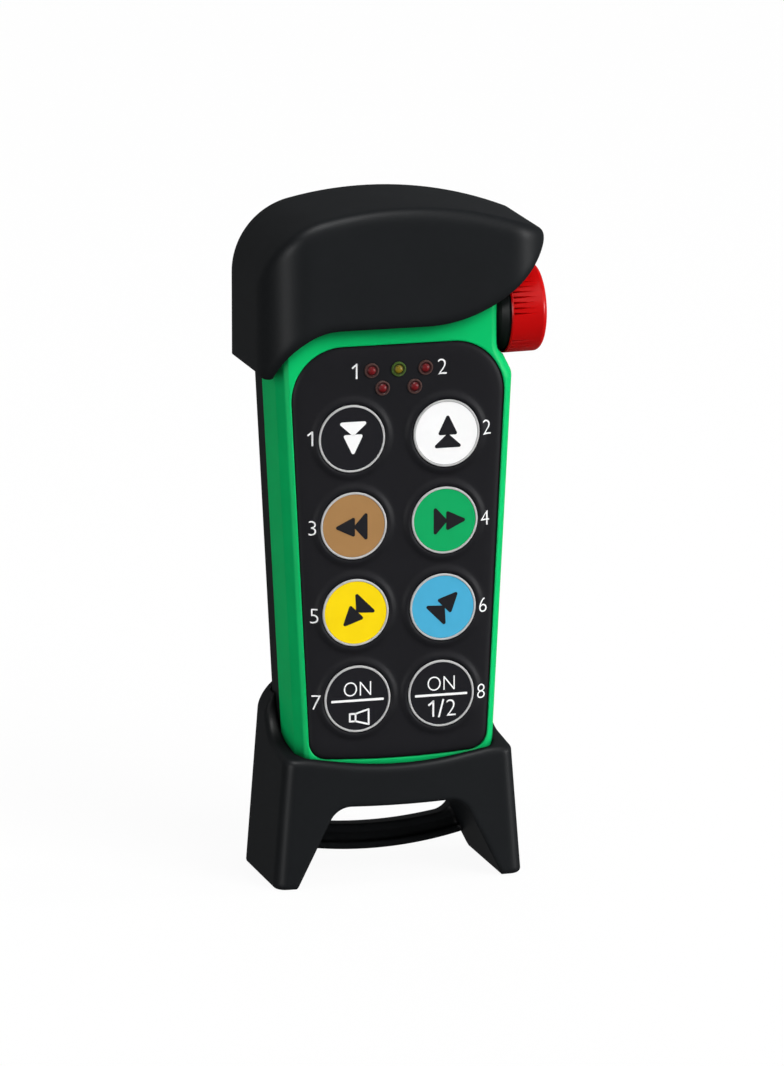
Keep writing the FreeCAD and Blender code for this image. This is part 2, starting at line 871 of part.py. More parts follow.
def estop_nut():
    inner_x = estop_wall_x - estop_wall
    end_x = inner_x - nut_height
    outer = estop_barrel_radius + nut_width
    cuts = [rod_x(estop_barrel_radius + 0.05, end_x - past, inner_x + past)]
    for i in range(nut_notches):
        angle = 2 * math.pi * i / nut_notches
        notch = rod_x(nut_notch_radius, end_x - past, inner_x + past)
        reach = outer + nut_notch_radius / 4
        notch.translate(V(0, math.cos(angle), math.sin(angle)) * reach)
        cuts.append(notch)
    return rod_x(outer, end_x, inner_x).cut(cuts)


def estop_stem():
    flange_end_x = barrel_end_x - 0.4
    end_x = hood_x - 0.2
    return turned_x([
        (stem_tip_x, 0.0),
        (stem_tip_x, estop_stem_radius - stem_tip_bevel),
        (stem_tip_x + stem_tip_bevel, estop_stem_radius),
        (stem_flange_x, estop_stem_radius),
        (stem_flange_x, stem_flange_radius),
        (flange_end_x, stem_flange_radius),
        (flange_end_x, estop_stem_radius),
        (end_x, estop_stem_radius),
        (end_x, 0.0),
    ])


def estop_spring():
    half = spring_wire / 2
    length = hub_x - spring_seat_x - spring_wire - 0.2
    mean_radius = (spring_radius + estop_stem_radius) / 2
    helix = Part.makeHelix(length / spring_turns, length, mean_radius)
    square = ((-1, -1), (1, -1), (1, 1), (-1, 1), (-1, -1))
    section = Part.makePolygon([V(mean_radius + a * half, 0, b * half) for a, b in square])
    coil = Part.Wire(helix.Edges).makePipeShell([section], True, True)
    coil.rotate(V(0, 0, 0), V(0, 1, 0), 90)
    coil.translate(V(spring_seat_x + half + 0.1, estop_y, estop_z))
    return coil


def estop_contact_block():
    length = barrel_end_x - block_end_x
    corner = V(block_end_x, estop_y - block_half, estop_z - block_half)
    block = Part.makeBox(length, 2 * block_half, 2 * block_half, corner)
    block = rounded(block, 1.0, lambda e: e.BoundBox.XLength > length / 2)
    cuts = [rod_x(block_bore, block_end_x + 2 * past, far)]
    for side in (-1, 1):
        terminal = rod_x(terminal_radius, block_end_x - past, block_end_x + 2 * terminal_radius)
        terminal.translate(V(0, 0, side * terminal_offset))
        cuts.append(terminal)
    return block.cut(cuts)


# Grip groove of the red head: it starts as a deep notch near the rim and fades out
# towards the face
def grip_groove(degrees):
    angle = math.radians(degrees)
    outward = V(0, math.cos(angle), math.sin(angle))
    across = V(0, -math.sin(angle), math.cos(angle))
    start = V(estop_rim_x + groove_start, estop_y, estop_z)
    root = start + outward * (estop_head_radius - groove_depth)
    mouth = start + outward * (estop_head_radius + groove_depth)
    spread = across * (2 * groove_half_width)
    section = Part.Face(Part.makePolygon([root, mouth + spread, mouth - spread, root]))
    return section.extrude(V(groove_length, 0, 0) + outward * groove_depth)


# Way from the start of the red head's shoulder to a point that many degrees along it
def rolled(degrees):
    angle = math.radians(degrees)
    return V(estop_shoulder * math.sin(angle), estop_shoulder * (math.cos(angle) - 1), 0)


# Red head: hollow mushroom with its grip grooves in groups
def estop_head():
    r = estop_head_radius
    inner = r - estop_head_wall
    hub_radius = estop_stem_radius + hub_wall
    crown = V(estop_face_x, 0, 0)
    side_end = V(estop_face_x - estop_crown - estop_shoulder, r - estop_side_draft, 0)
    bend = side_end + rolled(40)
    shoulder = side_end + rolled(80)
    sag = crown.x - shoulder.x
    crown_radius = (shoulder.y ** 2 + sag ** 2) / (2 * sag)
    half_y = shoulder.y / 2
    half_x = crown.x - crown_radius + math.sqrt(crown_radius ** 2 - half_y ** 2)
    hollow = [
        crown,
        V(hood_x, 0, 0),
        V(hood_x, estop_stem_radius + 0.05, 0),
        V(hub_x, estop_stem_radius + 0.05, 0),
        V(hub_x, hub_radius, 0),
        V(hood_x, hub_radius, 0),
        V(hood_x, inner, 0),
        V(estop_rim_x, inner, 0),
        V(estop_rim_x, r - 0.3, 0),
        V(estop_rim_x + 0.4, r, 0),
        side_end,
    ]
    edges = [Part.makeLine(hollow[i], hollow[i + 1]) for i in range(len(hollow) - 1)]
    edges.append(Part.Arc(side_end, bend, shoulder).toShape())
    edges.append(Part.Arc(shoulder, V(half_x, half_y, 0), crown).toShape())
    head = Part.Face(Part.Wire(edges)).revolve(V(0, 0, 0), V(1, 0, 0), 360)
    head.translate(V(0, estop_y, estop_z))
    grooves = []
    for group in range(groove_groups):
        middle = groove_first_turn + 360 * group / groove_groups
        for i in range(groove_count):
            grooves.append(grip_groove(middle + groove_turn * (i - (groove_count - 1) / 2)))
    return head.cut(grooves)


# Top bumper: a cap with a crowned top, an arched left skirt and a visor that
# reaches over the emergency stop
def top_bumper():
    crown_z = cap_top_z - cap_crown_radius
    visor_z = cap_brow_z + cap_visor_radius
    arch_z = cap_skirt_z - cap_arch_lift
    arch_radius = cap_brow_z - arch_z
    skirt_x = cap_left_x + cap_skirt_width
    arch_x = skirt_x + math.sqrt(arch_radius ** 2 - cap_arch_lift ** 2)

    def crown(x):
        return crown_z + math.sqrt(cap_crown_radius ** 2 - x ** 2)

    def visor(x):
        return visor_z - math.sqrt(cap_visor_radius ** 2 - (x - cap_visor_x) ** 2)

    across = V(cap_visor_x, visor_z - crown_z, 0)
    apart = across.Length
    along_it = (apart ** 2 + cap_crown_radius ** 2 - cap_visor_radius ** 2) / (2 * apart)
    beside_it = math.sqrt(cap_crown_radius ** 2 - along_it ** 2)
    tip_x = (across.x * along_it + across.y * beside_it) / apart
    arch_turn = arch_radius * math.sqrt(0.5)
    visor_turn = (cap_visor_x + tip_x) / 2
    at = in_xz(cap_front_y)
    points = [
        at(cap_left_x, cap_skirt_z),
        at(skirt_x, cap_skirt_z),
        at(arch_x, cap_brow_z),
        at(cap_visor_x, cap_brow_z),
        at(tip_x, crown(tip_x)),
        at(cap_left_x, crown(cap_left_x)),
    ]
    edges = [
        Part.makeLine(points[0], points[1]),
        Part.Arc(points[1], at(arch_x - arch_turn, arch_z + arch_turn), points[2]).toShape(),
        Part.makeLine(points[2], points[3]),
        Part.Arc(points[3], at(visor_turn, visor(visor_turn)), points[4]).toShape(),
        Part.Arc(points[4], at(0, cap_top_z), points[5]).toShape(),
        Part.makeLine(points[5], points[0]),
    ]
    block = Part.Face(Part.Wire(edges)).extrude(V(0, cap_rear_y - cap_front_y, 0))

    def along(x, z):
        def wanted(e):
            off = abs(middle_of(e).x - x) + abs(middle_of(e).z - z)
            return e.BoundBox.YLength > (cap_rear_y - cap_front_y) / 2 and off < 0.1

        return wanted

    block = rounded(block, cap_shoulder_radius, along(cap_left_x, crown(cap_left_x)))
    block = rounded(block, cap_nose_radius, along(tip_x, crown(tip_x)))
    plan = [
        (cap_left_x, cap_rear_y, 0.0),
        (cap_left_x, cap_front_y, cap_corner_radius),
        (cap_right_x, cap_front_y, cap_corner_radius),
        (cap_right_x, cap_rear_y, 0.0),
    ]
    block = block.common(slab_z(plan, cap_skirt_z - past, cap_top_z + past))

    def front_radius(e):
        box = e.BoundBox
        upright = box.XLength + box.YLength < 0.01
        low = middle_of(e).z < cap_skirt_z + 0.5
        aft = middle_of(e).y > cap_front_y + cap_corner_radius + 0.5
        if upright or low or aft or box.YLength > cap_corner_radius + 5:
            return 0.0
        over_nose = box.ZMax > crown(tip_x) - cap_nose_radius / 2
        return cap_edge_radius if over_nose else cap_brow_radius

    def on_rear(e):
        return e.BoundBox.YMin > cap_rear_y - 0.01 and middle_of(e).z > cap_skirt_z + 0.5

    block = rounded_by(block, front_radius)
    block = rounded(block, cap_rear_edge_radius, on_rear)
    hem_y = cap_front_y + cap_hem_start
    hem_z = cap_skirt_z + cap_skirt_rise
    hem_rear_y = cap_rear_y + bumper_gap / 2
    hem = [
        (cap_front_y - far, cap_skirt_z - far, 0.0),
        (cap_rear_y + past, cap_skirt_z - far, 0.0),
        (cap_rear_y + past, hem_z + 2 * cap_hem_radius, 0.0),
        (hem_rear_y, hem_z + 2 * cap_hem_radius, 0.0),
        (hem_rear_y, hem_z, cap_hem_radius),
        (hem_y + cap_hem_run, hem_z, cap_hem_blend),
        (hem_y, cap_skirt_z, cap_hem_blend),
        (cap_front_y - far, cap_skirt_z, 0.0),
    ]
    block = block.cut(slab_x(hem, cap_left_x - past, arch_x))
    block = block.cut(housing_envelope(bumper_gap))
    clear = 2 * bumper_gap
    return block.cut(rod_x(estop_pocket_radius + clear, estop_wall_x - clear, 2 * far))


# Bottom bumper: a boot with two leaning legs, an arch between them and a strap
# bar across the rear of the arch
bar_y = boot_rear_y - bar_depth
slot_z = bar_bottom_z + bar_height + bar_end_rise
leg_slope = (arch_foot_half - arch_top_half) / arch_top_z


def below_arc(z, outline, y0, y1):
    """The part of an outline under an upward arc whose lowest point is at z."""
    return slab_y(outline, y0, y1).cut(rod_y(bar_arc_radius, y0 - past, y1 + past, 0, z + bar_arc_radius))


def arc_band(low_z, high_z, outline, y0, y1):
    return below_arc(high_z, outline, y0, y1).cut(below_arc(low_z, outline, y0 - past, y1 + past))


def bottom_bumper():
    top_z = boot_rear_top_z + 2 * past

    def plan(z):
        half = boot_half_width - boot_lean * z
        rear_half = half - boot_rear_narrowing
        return [
            (-half, boot_front_y, boot_front_radius),
            (0.0, boot_front_y - boot_front_bow, bow_radius(half, boot_front_bow)),
            (half, boot_front_y, boot_front_radius),
            (rear_half, boot_rear_y, boot_rear_radius),
            (-rear_half, boot_rear_y, boot_rear_radius),
        ]

    outside = Part.makeLoft([loop(plan(z), in_xy(z)) for z in (0.0, top_z)], True, True)
    block = rounded(outside, boot_sole_radius, lambda e: e.BoundBox.ZMax < 0.01)
    half = boot_half_width - boot_lean * boot_rear_top_z
    foot = boot_half_width + boot_lean * past
    shoulders = [
        (-foot, -past, 0.0),
        (foot, -past, 0.0),
        (half, boot_rear_top_z, boot_shoulder_radius),
        (-half, boot_rear_top_z, boot_shoulder_radius),
    ]
    block = block.common(slab_y(shoulders, -far, far))
    rim_z = boot_corner_z - boot_rim_rise * boot_front_y
    side_rim = [
        (-far, rim_z - boot_rim_rise * far, 0.0),
        (boot_step_y, rim_z + boot_rim_rise * boot_step_y, boot_step_radius),
        (boot_step_y + past, boot_rear_top_z, boot_step_radius / 4),
        (far, boot_rear_top_z, 0.0),
        (far, boot_rear_top_z + far, 0.0),
        (-far, boot_rear_top_z + far, 0.0),
    ]
    dip_sides = [(-far, boot_corner_z, 0.0), (-boot_dip_half, boot_corner_z, boot_dip_blend)]
    dip_sides.append((0.0, boot_corner_z - boot_dip, bow_radius(boot_dip_half, boot_dip)))
    dip_sides += [(boot_dip_half, boot_corner_z, boot_dip_blend), (far, boot_corner_z, 0.0)]
    dip_sides += [(far, boot_corner_z + far, 0.0), (-far, boot_corner_z + far, 0.0)]
    slope = V(0, 1, boot_rim_rise)
    dip = Part.Face(loop(dip_sides, in_xz(boot_front_y)))
    dip.translate(slope * -boot_dip_length)
    dip = dip.extrude(slope * (2 * boot_dip_length))
    block = block.cut(dip.fuse(slab_x(side_rim, -far, far)).removeSplitter())

    def on_rim(e):
        level = e.BoundBox.ZMax > arch_top_z and e.BoundBox.ZLength < arch_top_z
        return level and outside.Shells[0].distToShape(Part.Vertex(middle_of(e)))[0] < 0.02

    block = rounded(block, boot_rim_radius, on_rim)
    cuts = [housing_envelope(bumper_gap)]
    arch = [
        (-arch_foot_half - leg_slope * past, -past, 0.0),
        (arch_foot_half + leg_slope * past, -past, 0.0),
        (arch_top_half, arch_top_z, arch_corner_radius),
        (0.0, arch_top_z - arch_top_bow, bow_radius(arch_top_half, arch_top_bow)),
        (-arch_top_half, arch_top_z, arch_corner_radius),
    ]
    slot_half = arch_foot_half - leg_slope * slot_z + slot_margin
    slot_top_half = arch_top_half + slot_margin
    slot = [
        (-slot_half, slot_z, bar_sweep_radius),
        (0.0, slot_z - slot_bow, bow_radius(slot_half, slot_bow)),
        (slot_half, slot_z, bar_sweep_radius),
        (slot_top_half, arch_top_z, arch_corner_radius),
        (0.0, arch_top_z - arch_top_bow, bow_radius(slot_top_half, arch_top_bow)),
        (-slot_top_half, arch_top_z, arch_corner_radius),
    ]
    cuts.append(slab_y(arch, -far, bar_y))
    cuts.append(slab_y(slot, bar_y - past, far))
    cuts.append(below_arc(bar_bottom_z, arch, bar_y - past, far))
    low_z = bar_bottom_z + bar_groove_rise
    cuts.append(arc_band(low_z, low_z + bar_groove_height, arch, bar_y - past, bar_y + bar_groove_depth))
    return block.cut(cuts)


# Nodes
save("front_shell", front_shell())
save("rear_shell", rear_shell())
save("shell_seal", shell_seal())
shell_head = (shell_head_radius, shell_head_height)
shell_screw = (shell_screw_seat_y, shell_screw_length, shell_screw_radius) + shell_head
save("shell_screws", Part.makeCompound([screw(x, z, *shell_screw) for x, z in shell_screws_at]))
save("keypad_panel", keypad_panel())
for number, (x, z) in enumerate(button_places, 1):
    save("button_cap_%d" % number, button_cap(x, z))
    save("button_label_%d" % number, button_label(x, z))
    save("button_ring_%d" % number, button_ring(x, z))
for number, (x, z) in enumerate(led_places, 1):
    save("led_lens_%d" % number, led_lens(x, z))
save("led_emitters", Part.makeCompound([led_emitter(x, z) for x, z in led_places]))
save("main_board", main_board())
board_head = (board_head_radius, board_head_height)
board_screw = (board_rear_y, board_screw_length, board_screw_radius) + board_head
save("board_screws", Part.makeCompound([screw(x, z, *board_screw) for x, z in board_screws_at]))
save("key_switches", Part.makeCompound([key_switch(x, z) for x, z in button_places]))
save("radio_module", radio_module())
save("antenna", antenna())
save("battery_pack", battery_pack())
contacts = [battery_contact(side * contact_half_pitch) for side in (-1, 1)]
save("battery_contacts", Part.makeCompound(contacts))
save("battery_seal", battery_seal())
save("battery_cover", battery_cover())
cover_screw_y = cover_seat_y + cover_thickness / 2
cover_head = (cover_head_radius, cover_head_height)
cover_screw = (cover_screw_y, cover_screw_length, cover_screw_radius) + cover_head
save("battery_cover_screws", Part.makeCompound([screw(x, z, *cover_screw) for x, z in cover_screws_at]))
save("estop_collar", estop_collar())
save("estop_seal", estop_seal())
save("estop_nut", estop_nut())
save("estop_stem", estop_stem())
save("estop_spring", estop_spring())
save("estop_contact_block", estop_contact_block())
save("estop_head", estop_head())
save("top_bumper", top_bumper())
save("bottom_bumper", bottom_bumper())
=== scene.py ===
import math

import bmesh
import bpy
from mathutils import Matrix, Vector


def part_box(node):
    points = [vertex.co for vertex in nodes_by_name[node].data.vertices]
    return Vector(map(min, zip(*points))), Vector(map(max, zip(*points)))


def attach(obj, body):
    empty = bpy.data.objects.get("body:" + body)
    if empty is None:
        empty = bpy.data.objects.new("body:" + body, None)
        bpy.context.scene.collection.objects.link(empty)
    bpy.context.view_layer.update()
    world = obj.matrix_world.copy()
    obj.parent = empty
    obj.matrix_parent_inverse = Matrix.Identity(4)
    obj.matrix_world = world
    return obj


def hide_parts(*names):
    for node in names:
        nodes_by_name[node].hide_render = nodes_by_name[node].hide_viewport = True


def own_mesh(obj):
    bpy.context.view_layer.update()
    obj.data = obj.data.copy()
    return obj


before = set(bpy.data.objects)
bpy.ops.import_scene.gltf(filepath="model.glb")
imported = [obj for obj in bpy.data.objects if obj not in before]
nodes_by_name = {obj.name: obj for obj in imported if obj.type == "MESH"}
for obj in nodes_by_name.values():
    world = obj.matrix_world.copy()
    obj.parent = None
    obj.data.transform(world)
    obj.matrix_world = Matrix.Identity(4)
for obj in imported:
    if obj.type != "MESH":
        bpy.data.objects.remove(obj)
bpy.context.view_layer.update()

# Radio remote control: materials, printed signs, crosses of painted shade on the screws' heads, a copy of
# the spring, studio, camera.
# Metres, in the frame of the imported part: X right, Y to the rear, Z up.
MM = 0.001

# Camera: a picture in pixels, a sensor in millimetres, angles in degrees and lengths in metres
PICTURE_HEIGHT = 1066
FOCAL_PIXELS = 9273.4
SENSOR = 36.0
VIEW_TARGET = Vector((-5.47, -18.0, 121.77)) * MM
VIEW_FROM_LEFT = 15.93
VIEW_FROM_ABOVE = 12.97
VIEW_DISTANCE = 3121.4 * MM
VIEW_REACH = 20.0

# Radius by which a moulding's corners are shaded as rounded, and samples for this and the painted contact
# shade
CAP_EDGE = 5.0 * MM
BOOT_EDGE = 2.2 * MM
SHELL_EDGE = 1.2 * MM
KEYPAD_EDGE = 2.2 * MM
SHADING_SAMPLES = 8

# Painted shade on the green shell where another surface stands close to it: how close, how dark, and
# how open a place is where it is darkest and where it is plain
CONTACT_REACH = 5.0 * MM
CONTACT_SHADE = 0.4
CONTACT_DARK = 0.5
CONTACT_PLAIN = 0.95

# Most values of a noise texture lie between these two
NOISE_LOW = 0.3
NOISE_HIGH = 0.7

# Indicator lenses: radius, and the shares of it where the bands of colour end and start
LENS_RADIUS = 2.6 * MM
DOME_END = 0.42
GROOVE_START = 0.60
GROOVE_END = 0.74
RING_START = 0.84

# Red head: its plain end beyond the grip grooves, and how light the red is at shares of its radius: painted
# shade that darkens the grooves towards their roots
GRIP_MARGIN = 3.2 * MM
GROOVE_PAINTED_SHADE = ((0.951, 0.04), (0.966, 0.28), (0.984, 1.0))

# Buttons and indicator lenses by number; a channel's digit stands left (-1) or right (1) of its lens
BUTTONS = range(1, 9)
LENSES = range(1, 6)
YELLOW_LENS = 2
WHITE_ON_BLACK = (1, 7, 8)
HORN_BUTTON = 7
FRACTION_BUTTON = 8
CHANNELS = {1: ("led_lens_1", -1), 2: ("led_lens_3", 1)}

# Printed signs
PRINT_THICKNESS = 0.06 * MM
PRINT_SINK = 0.02 * MM
PRINT_GRID = 0.4 * MM
PRINT_START = 1.0
WELD = 0.001 * MM
LETTER_STEPS = 6
CORNER_STEPS = 6
STROKE_STEPS = 4
DIGIT_HEIGHT = 5.0 * MM
DIGIT_WIDTH_SHARE = 0.98
DIGIT_STROKE_SHARE = 0.11
DIGIT_FLAG_SHARE = 0.26
DIGIT_FLAG_SLOPE = 0.8
STROKE_TRIM = 0.015
DIGIT_OFFSET = 14.3 * MM
LED_DIGIT_OFFSET = 5.9 * MM
LED_DIGIT_HEIGHT = 5.3 * MM
WORD = "ON"
WORD_HEIGHT = 4.9 * MM
WORD_WIDTH_SHARE = 0.9
WORD_RISE = 3.5 * MM
FRACTION_HEIGHT = 5.7 * MM
FRACTION_DROP = 5.2 * MM
FRACTION_SPREAD = 3.5 * MM
FRACTION_LEAN = 0.75 * MM
RULE_LENGTH = 17.6 * MM
RULE_HEIGHT = 0.8 * MM
RULE_DROP = 0.5 * MM
ARROW_WIDE = 11.0 * MM
ARROW_WIDE_LENGTH = 4.4 * MM
ARROW_SLIM = 7.2 * MM
ARROW_SLIM_LENGTH = 7.4 * MM
ARROW_OVERLAP = 0.55 * MM
ARROW_ROUNDING = 0.6 * MM
HORN_DROP = 6.4 * MM
HORN_SHIFT = 0.7 * MM
HORN_STROKE = 0.62 * MM
STROKE_ROUNDING_SHARE = 0.3

# Sides of the part, as the sign of their Y direction
FRONT = -1
REAR = 1

# Cross in a screw's head, as shares of the head, and its turn in degrees
CROSS_LENGTH_SHARE = 0.62
CROSS_WIDTH_SHARE = 0.16
CROSS_TURN = 45

# Each button's arrow: where it points, in degrees anticlockwise from +X, and how far it stands
# from the button's middle in X and Z, in millimetres
ARROWS = {
    1: (-90, 0.4, -0.1),
    2: (90, 0.4, 0.9),
    3: (180, -1.1, -0.4),
    4: (0, 2.0, -0.2),
    5: (-135, -0.5, -0.7),
    6: (45, 1.3, 1.1),
}

# How far each digit stands above its button's middle, in millimetres
DIGIT_RISES = {1: 0.7, 2: 1.1, 3: -0.1, 4: -0.2, 5: -0.5, 6: -0.4, 7: -0.5, 8: -0.4}

# Corners of the signal horn from its middle, in millimetres, and the two that a line across it joins
HORN_CORNERS = [(-3.4, -1.3), (-1.4, -1.3), (3.2, -2.6), (3.2, 2.6), (-1.4, 1.3), (-3.4, 1.3)]
HORN_THROAT = (1, 4)

# Studio: strength of the world and paleness of the floor for rays that don't show them, the share of plain
# white in the floor that is seen, and half the floor's width
AMBIENT = 0.33
FLOOR_BOUNCE = 0.5
FLOOR_GLOW = 0.94
FLOOR_HALF = 6.0

# Far lamps: degrees left of the part's front, degrees above it, degrees across and strength
KEY = (-30, 35, 40, 2.36)
REAR_FILL = (-172, 5, 40, 1.6)
GLINTS = {
    "left_glint": (48, 3, 12, 10.0),
    "right_glint": (-58, 3, 12, 12.0),
    "top_glint": (10, 70, 12, 15.0),
}

# Soft boxes: the same two angles, then width and height in metres and watts
SOFTBOX_DISTANCE = 1.6
SOFTBOXES = {
    "right_strip": (-86, 12, 0.2, 1.4, 9),
    "overhead": (10, 77, 1.0, 0.15, 3),
}


def linear(red, green, blue):
    """A display colour from 0 to 255 as the linear colour that a shader takes."""
    def channel(value):
        share = value / 255
        if share <= 0.04045:
            return share / 12.92
        return ((share + 0.055) / 1.055) ** 2.4

    return (channel(red), channel(green), channel(blue), 1.0)


def scaled(colour, factor):
    return tuple(min(1.0, c * factor) for c in colour[:3]) + (1.0,)


# Material building blocks
class Surface:
    """A node material with one Principled shader and the few nodes that the finishes need."""

    def __init__(self, name, **sockets):
        self.material = bpy.data.materials.new(name)
        self.material.use_nodes = True
        self.nodes = self.material.node_tree.nodes
        self.links = self.material.node_tree.links
        self.shader = self.nodes["Principled BSDF"]
        self.place = self.nodes.new("ShaderNodeTexCoord").outputs["Object"]
        for socket, value in sockets.items():
            self.shader.inputs[socket.replace("_", " ")].default_value = value

    def noise(self, size, detail=2.0, stretch=None):
        """Noise with features of about that size, in metres."""
        texture = self.nodes.new("ShaderNodeTexNoise")
        texture.inputs["Scale"].default_value = 1.0 / size
        texture.inputs["Detail"].default_value = detail
        place = self.place
        if stretch:
            mapping = self.nodes.new("ShaderNodeMapping")
            mapping.inputs["Scale"].default_value = stretch
            self.links.new(place, mapping.inputs["Vector"])
            place = mapping.outputs["Vector"]
        self.links.new(place, texture.inputs["Vector"])
        return texture.outputs["Fac"]

    def ramp(self, value, *stops):
        ramp = self.nodes.new("ShaderNodeValToRGB")
        elements = ramp.color_ramp.elements
        while len(elements) < len(stops):
            elements.new(0.5)
        for element, (position, colour) in zip(elements, stops):
            element.position = position
            element.color = colour
        self.links.new(value, ramp.inputs["Fac"])
        return ramp.outputs["Color"]

    def spread(self, noise, low, high):
        """Values from low to high, with the noise."""
        remap = self.nodes.new("ShaderNodeMapRange")
        remap.inputs["From Min"].default_value = NOISE_LOW
        remap.inputs["From Max"].default_value = NOISE_HIGH
        remap.inputs["To Min"].default_value = low
        remap.inputs["To Max"].default_value = high
        self.links.new(noise, remap.inputs["Value"])
        return remap.outputs["Result"]

    def shades(self, noise, colour, low, high):
        """The colour times low to high, with the noise."""
        return self.ramp(noise, (NOISE_LOW, scaled(colour, low)), (NOISE_HIGH, scaled(colour, high)))

    def computed(self, operation, value, number):
        step = self.nodes.new("ShaderNodeMath")
        step.operation = operation
        step.inputs[1].default_value = number
        self.links.new(value, step.inputs[0])
        return step.outputs["Value"]

    def vector_step(self, operation, vector, by=(0, 0, 0)):
        step = self.nodes.new("ShaderNodeVectorMath")
        step.operation = operation
        step.inputs[1].default_value = by
        self.links.new(vector, step.inputs[0])
        return step.outputs

    def distance_from(self, centre, axis_mask):
        """Distance from a line through centre; the mask leaves out the line's own direction."""
        offset = self.vector_step("SUBTRACT", self.place, centre)["Vector"]
        flat = self.vector_step("MULTIPLY", offset, axis_mask)["Vector"]
        return self.vector_step("LENGTH", flat)["Value"]

    def mixed(self, first, blend="MIX"):
        """A colour mix that starts from the first colour, for the caller to complete."""
        mix = self.nodes.new("ShaderNodeMix")
        mix.data_type = "RGBA"
        mix.blend_type = blend
        self.links.new(first, mix.inputs["A"])
        return mix

    def paint_contact_shade(self, colour, reach):
        """The colour with painted shade, darker where another surface stands within reach of it."""
        openness = self.nodes.new("ShaderNodeAmbientOcclusion")
        openness.samples = SHADING_SAMPLES
        openness.inputs["Distance"].default_value = reach
        white = (1, 1, 1, 1)
        levels = ((CONTACT_DARK, scaled(white, CONTACT_SHADE)), (CONTACT_PLAIN, white))
        mix = self.mixed(colour, "MULTIPLY")
        mix.inputs["Factor"].default_value = 1.0
        self.links.new(self.ramp(openness.outputs["AO"], *levels), mix.inputs["B"])
        return mix.outputs["Result"]

    def colour(self, output):
        self.links.new(output, self.shader.inputs["Base Color"])

    def roughness(self, output):
        self.links.new(output, self.shader.inputs["Roughness"])

    def relief(self, height, depth, edge=0.0):
        """Fine bumps; an edge above 0 also shades corners as rounded by that radius, in metres."""
        bump = self.nodes.new("ShaderNodeBump")
        bump.inputs["Distance"].default_value = depth
        bump.inputs["Strength"].default_value = 1.0
        self.links.new(height, bump.inputs["Height"])
        self.links.new(bump.outputs["Normal"], self.shader.inputs["Normal"])
        if edge:
            rounding = self.nodes.new("ShaderNodeBevel")
            rounding.samples = SHADING_SAMPLES
            rounding.inputs["Radius"].default_value = edge
            self.links.new(rounding.outputs["Normal"], bump.inputs["Normal"])
            self.links.new(rounding.outputs["Normal"], self.shader.inputs["Coat Normal"])


def moulded(name, colour, roughness, grain=0.3 * MM, depth=0.01 * MM, mottle=0.05, edge=0.0, reach=0.0,
            **sockets):
    """Moulded plastic or rubber: faint mottling, uneven gloss, a fine eroded grain, and painted contact
    shade with a reach.
    """
    surface = Surface(name, **sockets)
    clouds = surface.noise(size=14 * MM, detail=3.0)
    mottle_and_painted_shade = surface.shades(clouds, colour, low=1 - mottle, high=1 + mottle)
    if reach:
        # Painted shade where another surface stands within reach
        mottle_and_painted_shade = surface.paint_contact_shade(mottle_and_painted_shade, reach)
    surface.colour(mottle_and_painted_shade)
    patches = surface.noise(size=5 * MM, detail=3.0)
    surface.roughness(surface.spread(patches, low=roughness - 0.05, high=roughness + 0.05))
    surface.relief(surface.noise(size=grain, detail=3.0), depth, edge)
    return surface.material


def printed(name, colour, roughness=0.42):
    """Screen-printed ink or film: an even colour with a slight orange peel."""
    surface = Surface(name, Specular_IOR_Level=0.03)
    surface.colour(surface.shades(surface.noise(size=6 * MM), colour, low=0.97, high=1.02))
    patches = surface.noise(size=1.5 * MM)
    surface.roughness(surface.spread(patches, low=roughness - 0.06, high=roughness + 0.06))
    surface.relief(surface.noise(size=0.5 * MM), depth=0.003 * MM)
    return surface.material


def metal(name, colour, roughness, stretch=(1, 1, 12)):
    """Plated or brushed metal with fine streaks."""
    surface = Surface(name, Metallic=1.0)
    streaks = surface.noise(size=2 * MM, detail=4.0, stretch=stretch)
    surface.colour(surface.shades(streaks, colour, low=0.85, high=1.08))
    surface.roughness(surface.spread(streaks, low=roughness - 0.08, high=roughness + 0.1))
    surface.relief(surface.noise(size=0.2 * MM), depth=0.004 * MM)
    return surface.material


def lens(name, centre, dome, groove_shade, ring):
    """Indicator lens: a tinted dome, a groove darkened with painted shade and a paler ring, by distance from
    its axis.
    """
    surface = Surface(name, Specular_IOR_Level=0.04, Coat_Weight=0.02, Coat_Roughness=0.4)
    share = surface.computed("DIVIDE", surface.distance_from(centre, (1, 0, 1)), LENS_RADIUS)
    # The groove's dark band is painted shade
    bands = [(0.0, dome), (DOME_END, dome), (GROOVE_START, groove_shade), (GROOVE_END, groove_shade), (RING_START, ring)]
    surface.colour(surface.ramp(share, *bands))
    surface.roughness(surface.spread(surface.noise(size=0.8 * MM), low=0.36, high=0.48))
    surface.relief(surface.noise(size=0.4 * MM), depth=0.004 * MM)
    return surface.material


def gripped(name, colour, centre, radius, grip_end, **sockets):
    """Moulded head that turns about X: painted shade darkens its grip grooves with their depth, up to
    grip_end in X.
    """
    surface = Surface(name, Roughness=0.36, **sockets)
    share = surface.computed("DIVIDE", surface.distance_from(centre, (0, 1, 1)), radius)
    # Painted shade: the red darkens towards the roots of the grip grooves
    painted_groove_shade = surface.ramp(share, *[(place, scaled(colour, light)) for place, light in GROOVE_PAINTED_SHADE])
    split = surface.nodes.new("ShaderNodeSeparateXYZ")
    surface.links.new(surface.place, split.inputs["Vector"])
    mix = surface.mixed(painted_groove_shade)
    beyond = surface.computed("GREATER_THAN", split.outputs["X"], grip_end)
    surface.links.new(beyond, mix.inputs["Factor"])
    mix.inputs["B"].default_value = colour
    surface.colour(mix.outputs["Result"])
    surface.relief(surface.noise(size=0.3 * MM, detail=3.0), depth=0.003 * MM)
    return surface.material


